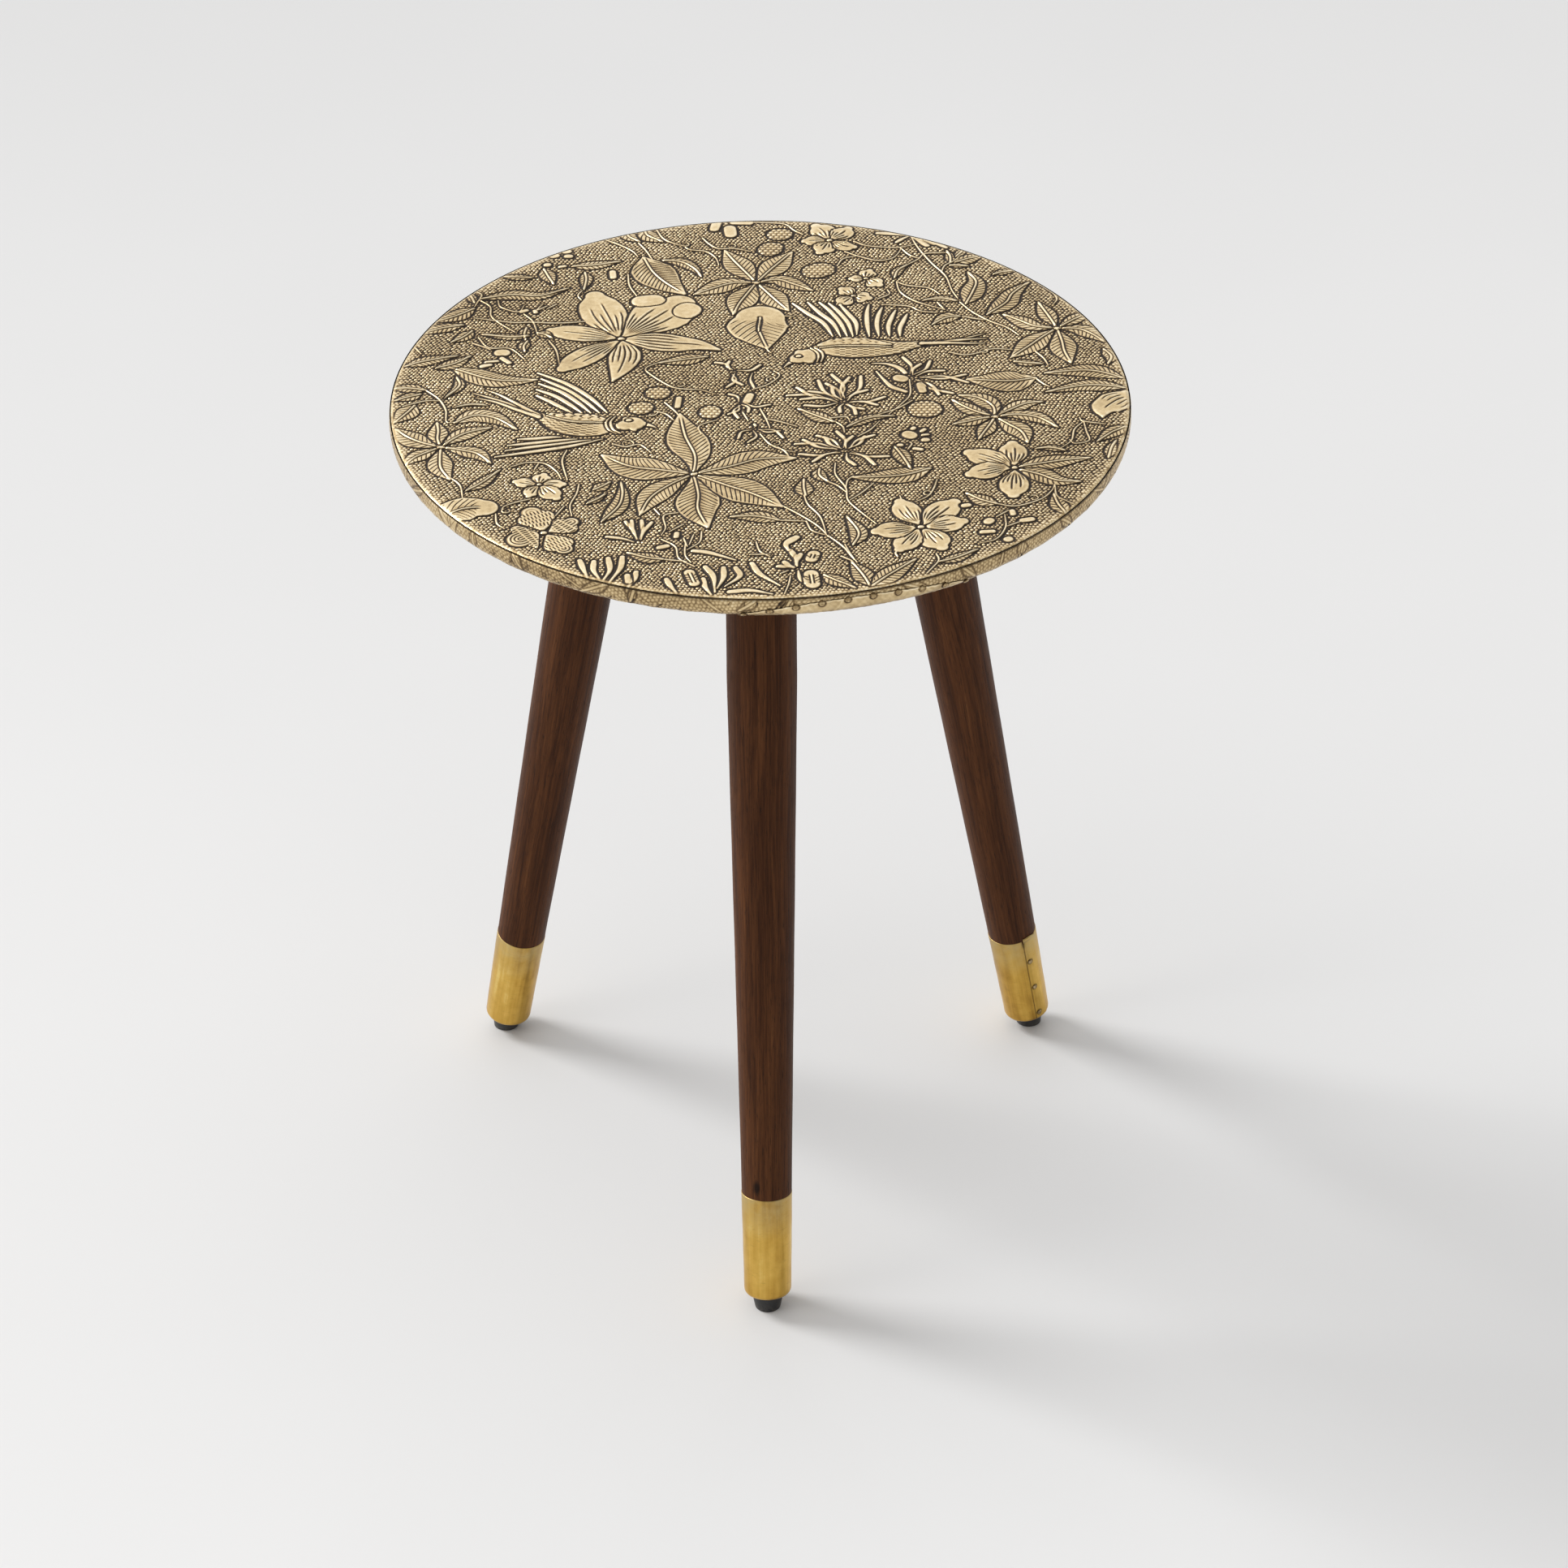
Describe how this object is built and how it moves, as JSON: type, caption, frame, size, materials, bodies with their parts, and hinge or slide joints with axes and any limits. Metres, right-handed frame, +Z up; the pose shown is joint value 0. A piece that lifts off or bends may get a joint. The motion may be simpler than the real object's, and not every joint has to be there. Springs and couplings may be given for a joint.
{
  "type": "side table",
  "caption": "Round side table: an embossed brass-clad wooden top on splayed turned wooden legs with brass ferrules and plastic foot glides.",
  "frame": {"origin": "on the floor, under the middle of the round top", "axes": "+Z up; -Y towards the front leg; +X to the right when looking from the front leg's side"},
  "size_m": [0.381, 0.3817, 0.457],
  "materials": {
    "board": "wood-fibre board, its underside stained near black, satin",
    "antique_brass": "embossed sheet brass, dark brown patina in the recesses, raised parts rubbed bright",
    "brass_nails": "small brass nails, slightly tarnished",
    "polished_brass": "brushed yellow brass with light tarnish streaks",
    "walnut": "hardwood with a dark walnut stain, satin",
    "zinc_steel": "zinc-plated pressed steel",
    "steel_hardware": "plated steel screws, bolts and tacks",
    "black_plastic": "moulded black plastic, satin"
  },
  "bodies": {
    "top": {"tabletop_core": "board", "embossed_brass_sheet": "antique_brass", "rim_patch_strip": "antique_brass", "rim_patch_nails": "brass_nails", "hem_tacks": "steel_hardware", "leg_plate_front": "zinc_steel", "leg_plate_screws_front": "steel_hardware", "leg_plate_left": "zinc_steel", "leg_plate_screws_left": "steel_hardware", "leg_plate_right": "zinc_steel", "leg_plate_screws_right": "steel_hardware"},
    "bolt_front": {"hanger_bolt_front": "steel_hardware"},
    "leg_front": {"leg_front": "walnut", "ferrule_front": "polished_brass", "ferrule_nails_front": "brass_nails", "foot_glide_front": "black_plastic", "glide_nail_front": "steel_hardware"},
    "bolt_left": {"hanger_bolt_left": "steel_hardware"},
    "leg_left": {"leg_left": "walnut", "ferrule_left": "polished_brass", "ferrule_nails_left": "brass_nails", "foot_glide_left": "black_plastic", "glide_nail_left": "steel_hardware"},
    "bolt_right": {"hanger_bolt_right": "steel_hardware"},
    "leg_right": {"leg_right": "walnut", "ferrule_right": "polished_brass", "ferrule_nails_right": "brass_nails", "foot_glide_right": "black_plastic", "glide_nail_right": "steel_hardware"}
  },
  "joints": [
    {"name": "leg_front_travel", "type": "slide", "parent": "top", "child": "bolt_front", "axis": [0, -0.184, -0.9829], "range_m": [0, 0.0101]},
    {"name": "leg_front_turn", "type": "hinge", "parent": "bolt_front", "child": "leg_front", "pos_m": [0, -0.17, 0], "axis": [0, -0.184, -0.9829], "range_deg": [0, 2880]},
    {"name": "leg_left_travel", "type": "slide", "parent": "top", "child": "bolt_left", "axis": [-0.1593, 0.092, -0.9829], "range_m": [0, 0.0101]},
    {"name": "leg_left_turn", "type": "hinge", "parent": "bolt_left", "child": "leg_left", "pos_m": [-0.14722, 0.085, 0], "axis": [-0.1593, 0.092, -0.9829], "range_deg": [0, 2880]},
    {"name": "leg_right_travel", "type": "slide", "parent": "top", "child": "bolt_right", "axis": [0.1593, 0.092, -0.9829], "range_m": [0, 0.0101]},
    {"name": "leg_right_turn", "type": "hinge", "parent": "bolt_right", "child": "leg_right", "pos_m": [0.14722, 0.085, 0], "axis": [0.1593, 0.092, -0.9829], "range_deg": [0, 2880]}
  ],
  "couplings": [
    {"joint": "leg_front_travel", "follows": "leg_front_turn", "m_per_rad": 0.00019894},
    {"joint": "leg_left_travel", "follows": "leg_left_turn", "m_per_rad": 0.00019894},
    {"joint": "leg_right_travel", "follows": "leg_right_turn", "m_per_rad": 0.00019894}
  ]
}
